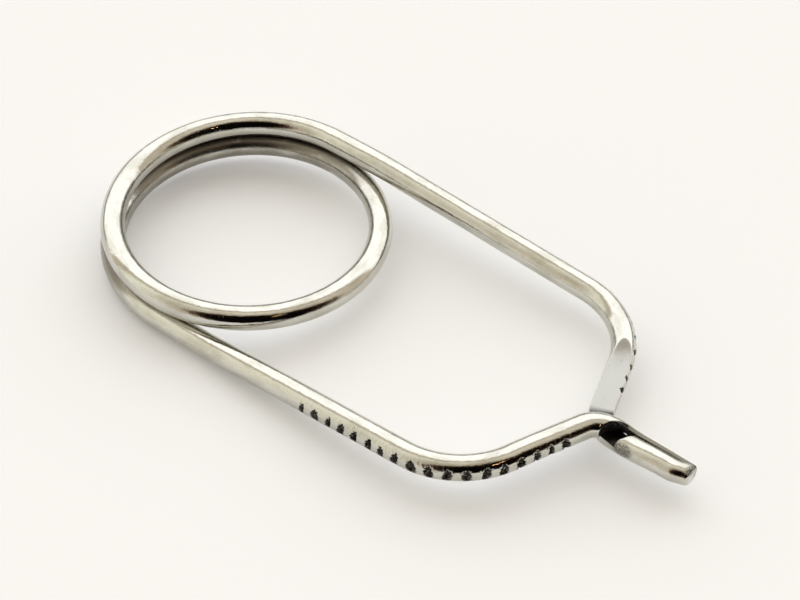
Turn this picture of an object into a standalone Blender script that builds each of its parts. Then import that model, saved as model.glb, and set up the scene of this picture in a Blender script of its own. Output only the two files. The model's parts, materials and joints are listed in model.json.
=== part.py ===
"""Cross-action hackle pliers: a small spring clip bent from one round wire.

A coil of one and a half turns is the spring and the finger ring. A leg leaves it on
each side, turns in at a shoulder, and crosses the other leg in a half-lap joint, so
pressing the legs together opens the jaws. The one wire is cut here into its working
lengths: the coil, a leg on each side, and a crossed jaw on the end of each leg.

Frame: metres, +X from the coil to the jaws' tip, +Z up along the coil's axis. The
origin is the middle of the underside of the bounding box. Right is the -Y side.
"""

import math

import bmesh
import bpy
import numpy as np
from mathutils import Vector

MM = 0.001

# Wire and coil
WIRE_RADIUS = 1.0 * MM
COIL_RADIUS = 11.15 * MM           # centreline, where the legs leave
COIL_TUCK = 0.38 * MM              # the middle of the winding lies this much further in
COIL_TURNS = 1.5
COIL_PITCH = 2.1 * MM              # height from turn to turn

# Whole object
TIP_X = 42.3 * MM                  # coil axis to the jaws' tip
COIL_BACK_X = 12.05 * MM           # coil axis to the back of the coil
CLAMP_Y = 0.42 * MM                # plane in which the jaws meet
LAP_Z = -0.1 * MM                  # plane in which the crossed wires lie on each other

# Legs: straight run, shoulder bend, arm, crossing bend, jaw
RIGHT_STRAIGHT = 24.5 * MM
RIGHT_SHOULDER_RADIUS = 7.3 * MM
RIGHT_SHOULDER_TURN = math.radians(65.6)
LEFT_STRAIGHT = 25.7 * MM
LEFT_SHOULDER_RADIUS = 6.5 * MM
LEFT_SHOULDER_TURN = math.radians(72.5)
CROSSING_RADIUS = 2.45 * MM
EASE_RADIUS = 14.0 * MM            # of the crossing bend's last and gentler part
RIGHT_EASE_TURN = 0.0
LEFT_EASE_TURN = math.radians(12.0)
ARM_OFFSET = 0.5 * MM              # centreline above or below the lap plane on an arm
RAMP_START = 3.0 * MM              # a leg keeps the coil's level to here, clear of the turns
RAMP_EASE = 3.0 * MM               # length over which its slope sets in and runs out

# Jaws
RIGHT_JAW_Y = 0.05 * MM            # centreline of each jaw before its taper
LEFT_JAW_Y = -0.34 * MM
JAW_STRAIGHT = 2.5 * MM            # and this far before it nears the middle plane
JAW_SETTLE = 2.0 * MM              # a jaw is level this far past its bend
TIP_RADIUS = 0.85 * MM             # end of the taper
TIP_ROUND = 0.3 * MM               # rounding of the tip's rim
LAP_END_X = 36.4 * MM              # full height again from here to the tip
CLAMP_START_X = 34.95 * MM         # the clamp face's cut begins
CLAMP_RUN_IN = 1.5 * MM            # radius over which it runs in to the clamp plane

# Along each arm: where the half-lap's ground flat starts, and where the leg is level
RIGHT_FLAT_START = 2.0 * MM
RIGHT_RAMP_END = 3.0 * MM
LEFT_FLAT_START = 1.7 * MM
LEFT_RAMP_END = 1.0 * MM
SPLIT_BEFORE_FLAT = 1.0 * MM       # a leg is cut from its jaw this far before the flat

# Grip notches along the outside of each leg
NOTCH_COUNT = 18
NOTCH_FIRST = 15.6 * MM
NOTCH_PITCH = 1.25 * MM
NOTCH_DEPTH = 0.2 * MM
NOTCH_SIDE = 0.5 * MM              # side of the square cutter

# Gaps between the pieces
SECTION_GAP = 0.2 * MM             # between lengths of the one wire
FACE_GAP = 0.1 * MM                # between the clamp faces, and between the lap faces

# Mesh density
WIRE_BEVEL_RESOLUTION = 4
COIL_STEPS = 112
BEND_STEPS = 9
STRAIGHT_STEP = 3.0 * MM
JAW_STEPS = 4
RIM_DEGREES = (30, 60, 90)         # rings round the tip's rim
LEAST_STEP = 0.1 * MM              # no ring lies nearer than this to the start of a length
RUN_IN_SEGMENTS = 5
SHARP_ANGLE = math.radians(40)
WELD = 0.001 * MM
CUTTER_REACH = 6.0 * MM            # how far a cutter runs past the wire

PLATING_COLOUR = (0.72, 0.70, 0.65, 1.0)
PLATING_ROUGHNESS = 0.22

COIL_CENTRE = Vector(((COIL_BACK_X - TIP_X) / 2, 0.0,
                      WIRE_RADIUS + COIL_TURNS * COIL_PITCH / 2))


def clear_scene():
    """Remove every object the file opened with."""
    for item in list(bpy.data.objects):
        bpy.data.objects.remove(item, do_unlink=True)


def new_collection(name):
    """Add a collection to the scene and return it."""
    group = bpy.data.collections.new(name)
    bpy.context.scene.collection.children.link(group)
    return group


def plated_steel(name):
    """Bright nickel-plated steel, as a Principled material of its own."""
    material = bpy.data.materials.new(name)
    material.use_nodes = True
    shader = material.node_tree.nodes["Principled BSDF"]
    shader.inputs["Base Color"].default_value = PLATING_COLOUR
    shader.inputs["Metallic"].default_value = 1.0
    shader.inputs["Roughness"].default_value = PLATING_ROUGHNESS
    return material


def smoothstep(values, low, high):
    """Ease from 0 at low to 1 at high."""
    t = np.clip((np.asarray(values) - low) / (high - low), 0.0, 1.0)
    return t * t * (3.0 - 2.0 * t)


def eased_ramp(value, start, end, ease):
    """Rise from 0 at start to 1 at end, with a parabola of length ease at each end."""
    rise = 0.0
    for sign, corner in ((1, start), (-1, start + ease), (-1, end - ease), (1, end)):
        rise += sign * max(value - corner, 0.0) ** 2 / 2
    return rise / (ease * (end - start - ease))


def coil_route():
    """Centreline of the coil, from the right leg round the back to the left leg."""
    turn = np.linspace(0.0, 1.0, COIL_STEPS + 1)
    angle = -math.pi / 2 - COIL_TURNS * 2 * math.pi * turn
    radius = COIL_RADIUS - COIL_TUCK * np.sin(math.pi * turn) ** 2
    height = COIL_TURNS * COIL_PITCH * (turn - 0.5)
    return np.column_stack([radius * np.cos(angle), radius * np.sin(angle), height])


class Leg:
    """The centreline of one leg, walked from the coil to the tip of its jaw."""

    def __init__(self, side, straight, shoulder_radius, turn, jaw_y, flat_start,
                 ramp_end, ease_turn):
        self.side = side
        self.straight = straight
        self.shoulder_radius = shoulder_radius
        self.turn = turn
        self.jaw_y = jaw_y
        self.ease_turn = ease_turn
        shoulder = shoulder_radius * (1.0 - math.cos(turn))
        crossing = CROSSING_RADIUS * (math.cos(ease_turn) - math.cos(turn))
        ease = EASE_RADIUS * (1.0 - math.cos(ease_turn))
        reach = abs(jaw_y - side * COIL_RADIUS)
        self.arm = (reach - shoulder - crossing - ease) / math.sin(turn)
        self.arm_start = straight + shoulder_radius * turn
        self.arm_end = self.arm_start + self.arm
        self.flat_start = self.arm_start + flat_start
        self.ramp_end = self.arm_start + ramp_end
        self.ease_start = self.arm_end + CROSSING_RADIUS * (turn - ease_turn)
        self.bend_end = self.ease_start + EASE_RADIUS * ease_turn
        bend_x = (straight + (shoulder_radius + CROSSING_RADIUS) * math.sin(turn)
                  + self.arm * math.cos(turn)
                  + (EASE_RADIUS - CROSSING_RADIUS) * math.sin(ease_turn))
        self.length = self.bend_end + TIP_X - bend_x

    def plan(self, station):
        """Plan position and heading of the centreline at a distance from the coil."""
        position = Vector((0.0, self.side * COIL_RADIUS))
        heading = 0.0
        moves = [(self.straight, 0.0),
                 (self.shoulder_radius * self.turn, -self.side * self.turn),
                 (self.arm, 0.0),
                 (self.ease_start - self.arm_end,
                  self.side * (self.turn - self.ease_turn)),
                 (self.bend_end - self.ease_start, self.side * self.ease_turn),
                 (self.length, 0.0)]
        left = station
        for length, turn in moves:
            if length == 0.0:
                continue
            part = min(left, length)
            bend = turn * part / length
            chord = part if bend == 0.0 else part * math.sin(bend / 2) / (bend / 2)
            middle = heading + bend / 2
            position = position + chord * Vector((math.cos(middle), math.sin(middle)))
            heading += bend
            left -= part
            if left <= 0.0:
                break
        return position, heading

    def height(self, station):
        """Level of the centreline: coil, then arm beside the lap plane, then jaw."""
        coil_level = self.side * COIL_TURNS * COIL_PITCH / 2
        arm_level = LAP_Z - self.side * ARM_OFFSET
        to_arm = eased_ramp(station, RAMP_START, self.ramp_end, RAMP_EASE)
        to_jaw = float(smoothstep(station, self.arm_end, self.bend_end + JAW_SETTLE))
        level = coil_level + (arm_level - coil_level) * to_arm
        return level + (LAP_Z - level) * to_jaw

    def to_middle(self, station):
        """How far the taper has carried the jaw's centreline to the middle plane."""
        start = self.bend_end + JAW_STRAIGHT
        end = self.length - 2 * TIP_ROUND
        taper = float(smoothstep(station, start, end))
        return -self.jaw_y * taper

    def radius(self, station):
        """Wire radius, tapering along the jaw and rounded at the tip's rim."""
        start = self.arm_end
        taper = min(max((station - start) / (self.length - start), 0.0), 1.0)
        radius = WIRE_RADIUS + (TIP_RADIUS - WIRE_RADIUS) * taper
        to_tip = min(max(self.length - station, 0.0), TIP_ROUND)
        return radius - TIP_ROUND + math.sqrt(to_tip * (2 * TIP_ROUND - to_tip))

    def point(self, station):
        """Centreline point, with the coil's centre as origin."""
        plan, _ = self.plan(station)
        y = plan.y + self.to_middle(station)
        return Vector((plan.x, y, self.height(station)))

    def stations(self, start, end):
        """Distances at which the wire between start and end gets a ring of points."""
        shoulder = np.linspace(self.straight, self.arm_start, BEND_STEPS + 1)
        crossing = np.linspace(self.arm_end, self.bend_end, BEND_STEPS)
        jaw = np.linspace(self.bend_end, self.length - TIP_ROUND, JAW_STEPS + 1)
        rim = self.length - TIP_ROUND * (1.0 - np.sin(np.radians(RIM_DEGREES)))
        straight = np.arange(0.0, self.straight - STRAIGHT_STEP / 2, STRAIGHT_STEP)
        inner = np.concatenate([straight, shoulder, crossing, jaw, rim])
        inner = inner[(inner > start + LEAST_STEP) & (inner < end)]
        return np.unique(np.concatenate([[start], inner, [end]])).tolist()


RIGHT = Leg(-1, RIGHT_STRAIGHT, RIGHT_SHOULDER_RADIUS, RIGHT_SHOULDER_TURN,
            RIGHT_JAW_Y, RIGHT_FLAT_START, RIGHT_RAMP_END, RIGHT_EASE_TURN)
LEFT = Leg(1, LEFT_STRAIGHT, LEFT_SHOULDER_RADIUS, LEFT_SHOULDER_TURN,
           LEFT_JAW_Y, LEFT_FLAT_START, LEFT_RAMP_END, LEFT_EASE_TURN)


def wire(name, points, radii, hinge, collection):
    """Round wire along a route, as one closed mesh parented to a hinge empty."""
    data = bpy.data.curves.new(name, "CURVE")
    data.dimensions = "3D"
    data.twist_mode = "Z_UP"
    data.bevel_depth = WIRE_RADIUS
    data.bevel_resolution = WIRE_BEVEL_RESOLUTION
    data.use_fill_caps = True
    spline = data.splines.new("POLY")
    spline.points.add(len(points) - 1)
    for slot, point, radius in zip(spline.points, points, radii):
        slot.co = (*point, 1.0)
        slot.radius = radius / WIRE_RADIUS
    curve = bpy.data.objects.new(name + "_route", data)
    collection.objects.link(curve)
    curve.location = hinge.location
    bpy.context.view_layer.update()
    evaluated = curve.evaluated_get(bpy.context.evaluated_depsgraph_get())
    mesh = bpy.data.meshes.new_from_object(evaluated)
    place = curve.matrix_world.copy()
    bpy.data.objects.remove(curve)
    weld(mesh)
    mesh.name = name
    piece = bpy.data.objects.new(name, mesh)
    collection.objects.link(piece)
    piece.parent = hinge
    piece.matrix_parent_inverse = hinge.matrix_world.inverted()
    piece.matrix_world = place
    mesh.materials.clear()
    mesh.materials.append(plated_steel(name + "_plating"))
    mesh.shade_smooth()
    mesh.set_sharp_from_angle(angle=SHARP_ANGLE)
    return piece


def weld(mesh):
    """Join the caps of a converted curve to its side."""
    work = bmesh.new()
    work.from_mesh(mesh)
    bmesh.ops.remove_doubles(work, verts=work.verts, dist=WELD)
    work.to_mesh(mesh)
    work.free()


def as_cutter(name, mesh, collection):
    """A cutting shape in the coil's own frame, shown as wire and never rendered."""
    cutter = bpy.data.objects.new(name, mesh)
    cutter.location = COIL_CENTRE
    cutter.hide_render = True
    cutter.display_type = "WIRE"
    collection.objects.link(cutter)
    return cutter


def box_cutter(name, low, high, collection):
    """A cutting box between two corners."""
    low = Vector(low)
    high = Vector(high)
    work = bmesh.new()
    bmesh.ops.create_cube(work, size=1.0)
    bmesh.ops.scale(work, vec=high - low, verts=work.verts)
    bmesh.ops.translate(work, vec=(low + high) / 2, verts=work.verts)
    mesh = bpy.data.meshes.new(name)
    work.to_mesh(mesh)
    work.free()
    return as_cutter(name, mesh, collection)


def clamp_cutter(name, side, collection):
    """A cutting block for the clamp face, whose rounded corner is the run-in."""
    face = CLAMP_Y - side * FACE_GAP / 2
    far = face + side * CUTTER_REACH
    low = Vector((CLAMP_START_X, min(face, far), -CUTTER_REACH))
    high = Vector((TIP_X + CUTTER_REACH, max(face, far), CUTTER_REACH))
    work = bmesh.new()
    bmesh.ops.create_cube(work, size=1.0)
    bmesh.ops.scale(work, vec=high - low, verts=work.verts)
    bmesh.ops.translate(work, vec=(low + high) / 2, verts=work.verts)
    corner = Vector((CLAMP_START_X, face))
    edges = [edge for edge in work.edges
             if all((vert.co.xy - corner).length < WELD for vert in edge.verts)]
    bmesh.ops.bevel(work, geom=edges, offset=CLAMP_RUN_IN, segments=RUN_IN_SEGMENTS,
                    profile=0.5, affect="EDGES")
    mesh = bpy.data.meshes.new(name)
    work.to_mesh(mesh)
    work.free()
    return as_cutter(name, mesh, collection)


def notch_cutter(name, leg, start, end, collection):
    """Upright square bars, set corner inwards, that cut the notches of a length."""
    work = bmesh.new()
    outside = WIRE_RADIUS - NOTCH_DEPTH + NOTCH_SIDE / math.sqrt(2)
    for number in range(NOTCH_COUNT):
        station = NOTCH_FIRST + number * NOTCH_PITCH
        if not start + NOTCH_SIDE < station < end - NOTCH_SIDE:
            continue
        _, heading = leg.plan(station)
        normal = Vector((-math.sin(heading), math.cos(heading), 0.0)) * leg.side
        bar = bmesh.ops.create_cube(work, size=NOTCH_SIDE)["verts"]
        stretch = Vector((1.0, 1.0, 2 * CUTTER_REACH / NOTCH_SIDE))
        bmesh.ops.scale(work, vec=stretch, verts=bar)
        turn = Vector((1.0, 0.0, 0.0)).rotation_difference(normal).to_matrix()
        corner = Vector((1.0, 1.0, 0.0)).rotation_difference(Vector((1.0, 0.0, 0.0)))
        bmesh.ops.rotate(work, matrix=turn @ corner.to_matrix(), verts=bar)
        bmesh.ops.translate(work, vec=leg.point(station) + outside * normal, verts=bar)
    mesh = bpy.data.meshes.new(name)
    work.to_mesh(mesh)
    work.free()
    return as_cutter(name, mesh, collection)


def cut(piece, cutter):
    """Take a cutter's shape away from a piece."""
    modifier = piece.modifiers.new(cutter.name, "BOOLEAN")
    modifier.operation = "DIFFERENCE"
    modifier.solver = "EXACT"
    modifier.object = cutter


def hinge_empty(name, collection):
    """An empty on the coil's axis, about which a leg turns."""
    empty = bpy.data.objects.new(name, None)
    empty.empty_display_size = COIL_RADIUS
    empty.location = COIL_CENTRE
    collection.objects.link(empty)
    return empty


def build_coil(hinge, parts):
    """The coil, short of both legs by half a section gap."""
    route = coil_route()
    steps = np.linalg.norm(np.diff(route, axis=0), axis=1)
    inset = SECTION_GAP / 2
    route[0] += (route[1] - route[0]) * inset / steps[0]
    route[-1] += (route[-2] - route[-1]) * inset / steps[-1]
    return wire("coil_ring", route, [WIRE_RADIUS] * len(route), hinge, parts)


def build_leg(name, leg, start, end, hinge, parts, cutters):
    """A length of one leg between two distances from the coil, with its notches."""
    stations = leg.stations(start, end)
    points = [leg.point(station) for station in stations]
    radii = [leg.radius(station) for station in stations]
    piece = wire(name, points, radii, hinge, parts)
    cut(piece, notch_cutter(name + "_notches", leg, start, end, cutters))
    return piece


def build_jaw(name, leg, start, hinge, parts, cutters):
    """A crossed arm and jaw: half-lap flat on one face, clamp face on the inside."""
    piece = build_leg(name, leg, start, leg.length, hinge, parts, cutters)
    flat = LAP_Z - leg.side * FACE_GAP / 2
    away = flat + leg.side * CUTTER_REACH
    flat_y = leg.point(leg.flat_start).y
    other_y = -leg.side * CUTTER_REACH
    low = (0.0, min(flat_y, other_y), min(flat, away))
    high = (LAP_END_X, max(flat_y, other_y), max(flat, away))
    cut(piece, box_cutter(name + "_lap", low, high, cutters))
    cut(piece, clamp_cutter(name + "_clamp", leg.side, cutters))
    return piece


def main():
    """Build the pliers."""
    clear_scene()
    parts = new_collection("hackle_pliers")
    cutters = new_collection("cutters")
    coil_axis = hinge_empty("coil_axis", parts)
    build_coil(coil_axis, parts)
    for side_name, leg in (("right", RIGHT), ("left", LEFT)):
        hinge = hinge_empty(side_name + "_hinge", parts)
        split = leg.flat_start - SPLIT_BEFORE_FLAT
        build_leg(side_name + "_leg", leg, SECTION_GAP / 2, split - SECTION_GAP / 2,
                  hinge, parts, cutters)
        build_jaw(side_name + "_jaw", leg, split + SECTION_GAP / 2,
                  hinge, parts, cutters)


main()
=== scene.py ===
"""Look of the hackle pliers: one nickel-plated wire, coiled, crossed and ground to jaws.

Lengths are in metres. A point of the wire is given by its station, the distance walked
along the wire from where the coil ends (negative on the coil), and by how far it lies
out from and up from the wire's centreline. The right side is worked out as the left
side is, and then turned half a turn about the X axis through the coil's centre.
"""

import json
import logging
import math
from dataclasses import dataclass
from enum import Enum
from typing import Any

import bpy
import numpy as np
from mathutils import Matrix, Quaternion, Vector


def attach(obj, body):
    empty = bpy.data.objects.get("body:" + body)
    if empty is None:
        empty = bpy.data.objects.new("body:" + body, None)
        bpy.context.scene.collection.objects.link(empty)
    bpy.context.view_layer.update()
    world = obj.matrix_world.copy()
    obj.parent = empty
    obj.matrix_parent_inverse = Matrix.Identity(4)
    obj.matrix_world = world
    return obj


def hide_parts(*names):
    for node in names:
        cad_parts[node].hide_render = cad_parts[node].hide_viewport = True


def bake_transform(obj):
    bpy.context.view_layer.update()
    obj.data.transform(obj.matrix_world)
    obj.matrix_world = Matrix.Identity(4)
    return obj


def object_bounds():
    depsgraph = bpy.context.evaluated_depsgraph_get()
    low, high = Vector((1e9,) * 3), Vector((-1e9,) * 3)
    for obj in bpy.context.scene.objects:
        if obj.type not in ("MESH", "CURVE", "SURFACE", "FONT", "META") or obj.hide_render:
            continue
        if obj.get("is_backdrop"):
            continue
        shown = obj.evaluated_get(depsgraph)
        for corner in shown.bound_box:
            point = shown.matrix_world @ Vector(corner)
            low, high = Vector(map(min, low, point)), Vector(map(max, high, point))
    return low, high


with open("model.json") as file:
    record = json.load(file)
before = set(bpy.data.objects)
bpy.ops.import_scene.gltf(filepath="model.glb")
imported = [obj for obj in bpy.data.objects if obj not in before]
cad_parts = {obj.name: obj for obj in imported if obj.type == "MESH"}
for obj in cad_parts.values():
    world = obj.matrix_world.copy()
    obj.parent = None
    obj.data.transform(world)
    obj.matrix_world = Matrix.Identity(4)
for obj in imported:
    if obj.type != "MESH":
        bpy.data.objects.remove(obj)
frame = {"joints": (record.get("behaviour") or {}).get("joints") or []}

MM = 0.001
FAR = 1.0                    # a limit that cuts nothing
TINY = 1e-9                  # keeps an unused bend from having no length
BELOW_ONE = 0.999999         # keeps one ring's sums from touching the next ring's
SHARP_ANGLE = math.radians(50.0)
SEAM_STEPS = np.array([0.01, 0.03, 0.07, 0.15]) * MM   # rings beside a cut in the wire
SLANT = math.sqrt(0.5)
log = logging.getLogger("hackle_pliers")


class Side(Enum):
    """The two sides of the pliers, by the sign of their Y."""

    RIGHT = -1
    LEFT = 1


def smoothstep(values: np.ndarray, low: float, high: float) -> np.ndarray:
    """Ease from 0 at low to 1 at high, as 3t^2 - 2t^3."""
    t = np.clip((values - low) / (high - low), 0.0, 1.0)
    return t * t * (3.0 - 2.0 * t)


def eased_ramp(value: np.ndarray, start: float, end: float, ease: float) -> np.ndarray:
    """Rise from 0 at start to 1 at end, straight but for a parabola at each end.

    Args:
        value: Where to read the ramp.
        start: Where it leaves 0.
        end: Where it reaches 1.
        ease: Length of each parabola.

    Returns:
        The ramp's height at each value.
    """
    rise = np.zeros_like(value)
    for sign, corner in ((1, start), (-1, start + ease), (-1, end - ease), (1, end)):
        rise += sign * np.maximum(value - corner, 0.0) ** 2 / 2
    return rise / (ease * (end - start - ease))


def spaced(start: float, end: float, spacing: np.ndarray) -> np.ndarray:
    """Numbers from start to end whose steps follow a wanted spacing.

    The count of steps up to a point is the integral of 1 / spacing; it is scaled to a
    whole number and turned round.

    Args:
        start: First number.
        end: Last number.
        spacing: Wanted step at evenly spread places from start to end.

    Returns:
        The numbers, both ends among them.
    """
    place = np.linspace(start, end, len(spacing))
    density = 1.0 / spacing
    steps = np.diff(place) * (density[1:] + density[:-1]) / 2
    count = np.concatenate([[0.0], np.cumsum(steps)])
    whole = int(math.ceil(count[-1]))
    return np.interp(np.linspace(0.0, count[-1], whole + 1), count, place)


def ripple(u: np.ndarray, v: np.ndarray, wave: float, seed: int, waves: int = 9,
           shortest: float = 0.35) -> np.ndarray:
    """Rough noise about 0 from a sum of slanted sine waves with seeded phases.

    Args:
        u: First coordinate.
        v: Second coordinate.
        wave: Longest wavelength, in the units of u and v.
        seed: Seed of the draws.
        waves: How many waves are added.
        shortest: Shortest wavelength, as a share of the longest.

    Returns:
        The noise, mostly within -1 and 1.
    """
    draw = np.random.default_rng(seed)
    total = np.zeros(np.broadcast(u, v).shape)
    for _ in range(waves):
        turn, phase = draw.uniform(0.0, 2 * math.pi, 2)
        length = wave * draw.uniform(shortest, 1.0)
        across = u * math.cos(turn) + v * math.sin(turn)
        total += np.sin(2 * math.pi * across / length + phase)
    return total / math.sqrt(waves)


@dataclass(frozen=True)
class Stock:
    """The round wire and the coil wound from it."""

    radius: float = 1.0 * MM
    coil_radius: float = 11.15 * MM     # centreline, where the legs leave
    coil_tuck: float = 0.38 * MM        # the middle of the winding lies further in
    turns: float = 1.5
    pitch: float = 2.1 * MM

    @property
    def coil_length(self) -> float:
        """Length of wire in the whole winding."""
        return self.turns * 2 * math.pi * self.coil_radius


STOCK = Stock()


@dataclass(frozen=True)
class Mesh:
    """A swept surface: rings of points, and what each point carries."""

    points: np.ndarray           # rings x round x 3
    space: np.ndarray            # place along and across the wire, in mm
    masks: dict[str, np.ndarray]     # ground, notched, darkened turns and painted lap shade, each 0 to 1

    def build(self, name: str, material: bpy.types.Material) -> bpy.types.Object:
        """Make the closed mesh, with a fan of triangles over each end.

        Args:
            name: The piece's name.
            material: Its finish.

        Returns:
            The object, at the origin.
        """
        rings, around, _ = self.points.shape
        index = np.arange(rings * around).reshape(rings, around)
        right = np.roll(index, -1, axis=1)
        quads = np.stack([index[:-1], right[:-1], right[1:], index[1:]], -1)
        first, last = rings * around, rings * around + 1
        start_fan = np.stack([right[0], index[0], np.full(around, first)], -1)
        end_fan = np.stack([index[-1], right[-1], np.full(around, last)], -1)
        faces = (quads.reshape(-1, 4).tolist() + start_fan.tolist() + end_fan.tolist())
        caps = self.points[[0, -1]].mean(1)
        corners = np.concatenate([self.points.reshape(-1, 3), caps])
        data = bpy.data.meshes.new(name)
        data.from_pydata(corners.tolist(), [], faces)
        data.update()
        ends = np.stack([self.space[0].mean(0), self.space[-1].mean(0)])
        self._store(data, "wire_space", "FLOAT_VECTOR", "vector", self.space, ends)
        for mask, values in self.masks.items():
            self._store(data, mask, "FLOAT", "value", values, np.zeros(2))
        data.materials.append(material)
        data.shade_smooth()
        data.set_sharp_from_angle(angle=SHARP_ANGLE)
        piece = bpy.data.objects.new(name, data)
        bpy.context.scene.collection.objects.link(piece)
        return piece

    @staticmethod
    def _store(data: bpy.types.Mesh, name: str, kind: str, field: str,
               values: np.ndarray, ends: np.ndarray) -> None:
        """Put one value for each point into the mesh.

        Args:
            data: The mesh.
            name: The attribute's name.
            kind: Its type.
            field: The name of a value in it.
            values: Values on the rings.
            ends: Values at the middles of the two ends.
        """
        width = values.shape[2:] or (1,)
        flat = values.reshape(-1, width[0])
        every = np.concatenate([flat, ends.reshape(-1, width[0])]).astype(np.float32)
        data.attributes.new(name, kind, "POINT").data.foreach_set(field, every.ravel())


@dataclass(frozen=True)
class Notches:
    """The grip notches filed across the outside of a leg."""

    count: int = 18
    first: float = 15.6 * MM
    pitch: float = 1.25 * MM
    depth: float = 0.27 * MM
    half_width: float = 0.32 * MM
    roughness: float = 0.045 * MM
    burr: float = 0.022 * MM
    uneven: float = 0.06 * MM            # how far a notch strays along the wire
    lean: float = 0.16                   # slant of a notch's line, at most
    depth_shares: tuple[float, float] = (0.95, 1.35)
    breadth_shares: tuple[float, float] = (0.8, 1.2)
    lift: float = 0.15 * MM              # how far its middle strays up or down
    wall_wave: float = 0.26 * MM         # wavelength of the ragged walls
    edge_wave: float = 0.34 * MM         # and of the ragged edge
    edge_wobble: float = 0.05 * MM
    height_share: float = 0.86           # of the radius, over which a notch runs out
    wall_power: float = 0.8              # below 1 rounds the V's floor
    burr_place: float = 1.12             # the burr's ridge, in half widths
    burr_width: float = 0.16
    full_depth: float = 0.03 * MM        # a cut this deep counts as notched
    seed: int = 11

    def centres(self) -> np.ndarray:
        """Station of each notch, a little uneven."""
        draw = np.random.default_rng(self.seed)
        even = self.first + self.pitch * np.arange(self.count)
        return even + draw.uniform(-1.0, 1.0, self.count) * self.uneven

    def cut(self, station: np.ndarray, out: np.ndarray, up: np.ndarray,
            radius: np.ndarray) -> tuple[np.ndarray, np.ndarray]:
        """File the notches into the rings.

        A notch is a V across the outside. Its floor lies at
        radius - depth x (1 - d / w) ^ wall_power x fade, where d is the distance from
        the notch's line, w half its width, and the fade runs out up and down the wire's
        side. Noise makes the walls ragged, and a burr stands at the lips.

        Args:
            station: Station of each ring, as a column.
            out: Distance out of each point.
            up: Distance up of each point.
            radius: Wire radius at each ring, as a column.

        Returns:
            The new distance out, and 1 where a point was cut.
        """
        centres = self.centres()
        nearest = np.abs(station - centres[None, :]).argmin(1)
        draw = np.random.default_rng(self.seed + 1)
        lean, share, breadth, lift = (
            draw.uniform(low, high, self.count)[nearest][:, None]
            for low, high in ((-self.lean, self.lean), self.depth_shares,
                              self.breadth_shares, (-self.lift, self.lift)))
        middle = centres[nearest][:, None] + lean * up
        ragged = ripple(station, up, self.wall_wave, self.seed + 2)
        edge = ripple(station * 0.3, up, self.edge_wave, self.seed + 3)
        away = np.abs(station - middle + self.edge_wobble * edge)
        away /= self.half_width * breadth
        height = np.abs(up - lift) / (self.height_share * radius)
        fade = np.clip(1.25 - height, 0.0, 1.0) ** 0.5
        profile = np.clip(1.0 - away, 0.0, 1.0) ** self.wall_power
        floor = radius - self.depth * share * profile * fade
        floor += self.roughness * ragged * np.minimum(profile * 3.0, 1.0)
        filed = profile > 0.0
        cut_out = np.where(filed, np.minimum(out, floor), out)
        outside = np.clip(out / radius * 2.5 - 1.2, 0.0, 1.0)
        ridge = np.exp(-((away - self.burr_place) / self.burr_width) ** 2)
        lips = ridge * outside * np.abs(ragged)
        depth = np.clip((out - cut_out) / self.full_depth, 0.0, 1.0)
        return cut_out + self.burr * lips, depth


@dataclass(frozen=True)
class Section:
    """A round section clipped by an outer, an upper and a slanted limit."""

    sharpness: float = 44.0      # higher makes the ground edges crisper
    fine: int = 1024             # samples that place the points round a ring
    corner_share: float = 0.42   # share of the points that gather at the corners
    slant_up: int = 1            # 1: the slant faces out and up; -1: out and down

    def outline(self, radius: np.ndarray, limits: np.ndarray, kernel: np.ndarray,
                angle: np.ndarray) -> tuple[np.ndarray, np.ndarray]:
        """Outline round a kernel point.

        The distance from the kernel at an angle is the smallest of the distances to the
        circle and to each limit's line; 1 / distance is taken as the power mean of their
        inverses, which rounds the corners very slightly.

        Args:
            radius: Wire radius at each ring.
            limits: Outer, upper and slanted limit at each ring, from the centreline.
            kernel: A point inside each ring.
            angle: Angles at each ring.

        Returns:
            Distance out and distance up of each point.
        """
        u, v = np.cos(angle), np.sin(angle)
        ku, kv = kernel[:, :1], kernel[:, 1:]
        along = ku * u + kv * v
        inside = radius[:, None] ** 2 - ku ** 2 - kv ** 2
        circle = -along + np.sqrt(inside + along ** 2)
        rooms = (limits[:, :1] - ku, limits[:, 1:2] - kv,
                 limits[:, 2:] - SLANT * (ku + self.slant_up * kv))
        leans = (u, v, SLANT * (u + self.slant_up * v))
        total = np.ones_like(circle)
        for room, lean in zip(rooms, leans):
            total += (np.maximum(lean, 0.0) * circle / room) ** self.sharpness
        reach = circle / total ** (1.0 / self.sharpness)
        return ku + reach * u, kv + reach * v

    def angles(self, radius: np.ndarray, limits: np.ndarray, kernel: np.ndarray,
               around: int) -> np.ndarray:
        """Angles that gather at the corners and spread evenly elsewhere.

        Each angle lies where the running sum of outline length and of turning, each as
        a share of its whole, passes an even step.

        Args:
            radius: Wire radius at each ring.
            limits: Limits at each ring.
            kernel: Kernel point of each ring.
            around: Number of points round a ring.

        Returns:
            The angles, ring by ring.
        """
        fine = np.linspace(-math.pi, math.pi, self.fine + 1)
        sweep = np.broadcast_to(fine, (len(radius), self.fine + 1))
        out, up = self.outline(radius, limits, kernel, sweep)
        step_out, step_up = np.diff(out), np.diff(up)
        length = np.hypot(step_out, step_up)
        heading = np.unwrap(np.arctan2(step_up, step_out))
        turning = np.abs(np.diff(heading, append=heading[:, :1] + 2 * math.pi))
        share = (length / length.sum(1, keepdims=True) * (1.0 - self.corner_share)
                 + turning / turning.sum(1, keepdims=True) * self.corner_share)
        running = np.cumsum(share, 1)
        running /= running[:, -1:]
        running = np.concatenate([np.zeros((len(radius), 1)), running], 1)
        rows = np.arange(len(radius))[:, None]
        levels = np.arange(around)[None, :] / around
        # one search over all the rings, each ring's sums moved up by its number
        flat = np.interp((levels * BELOW_ONE + rows).ravel(),
                         (running * BELOW_ONE + rows).ravel(), sweep.ravel())
        return flat.reshape(len(radius), around)


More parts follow.
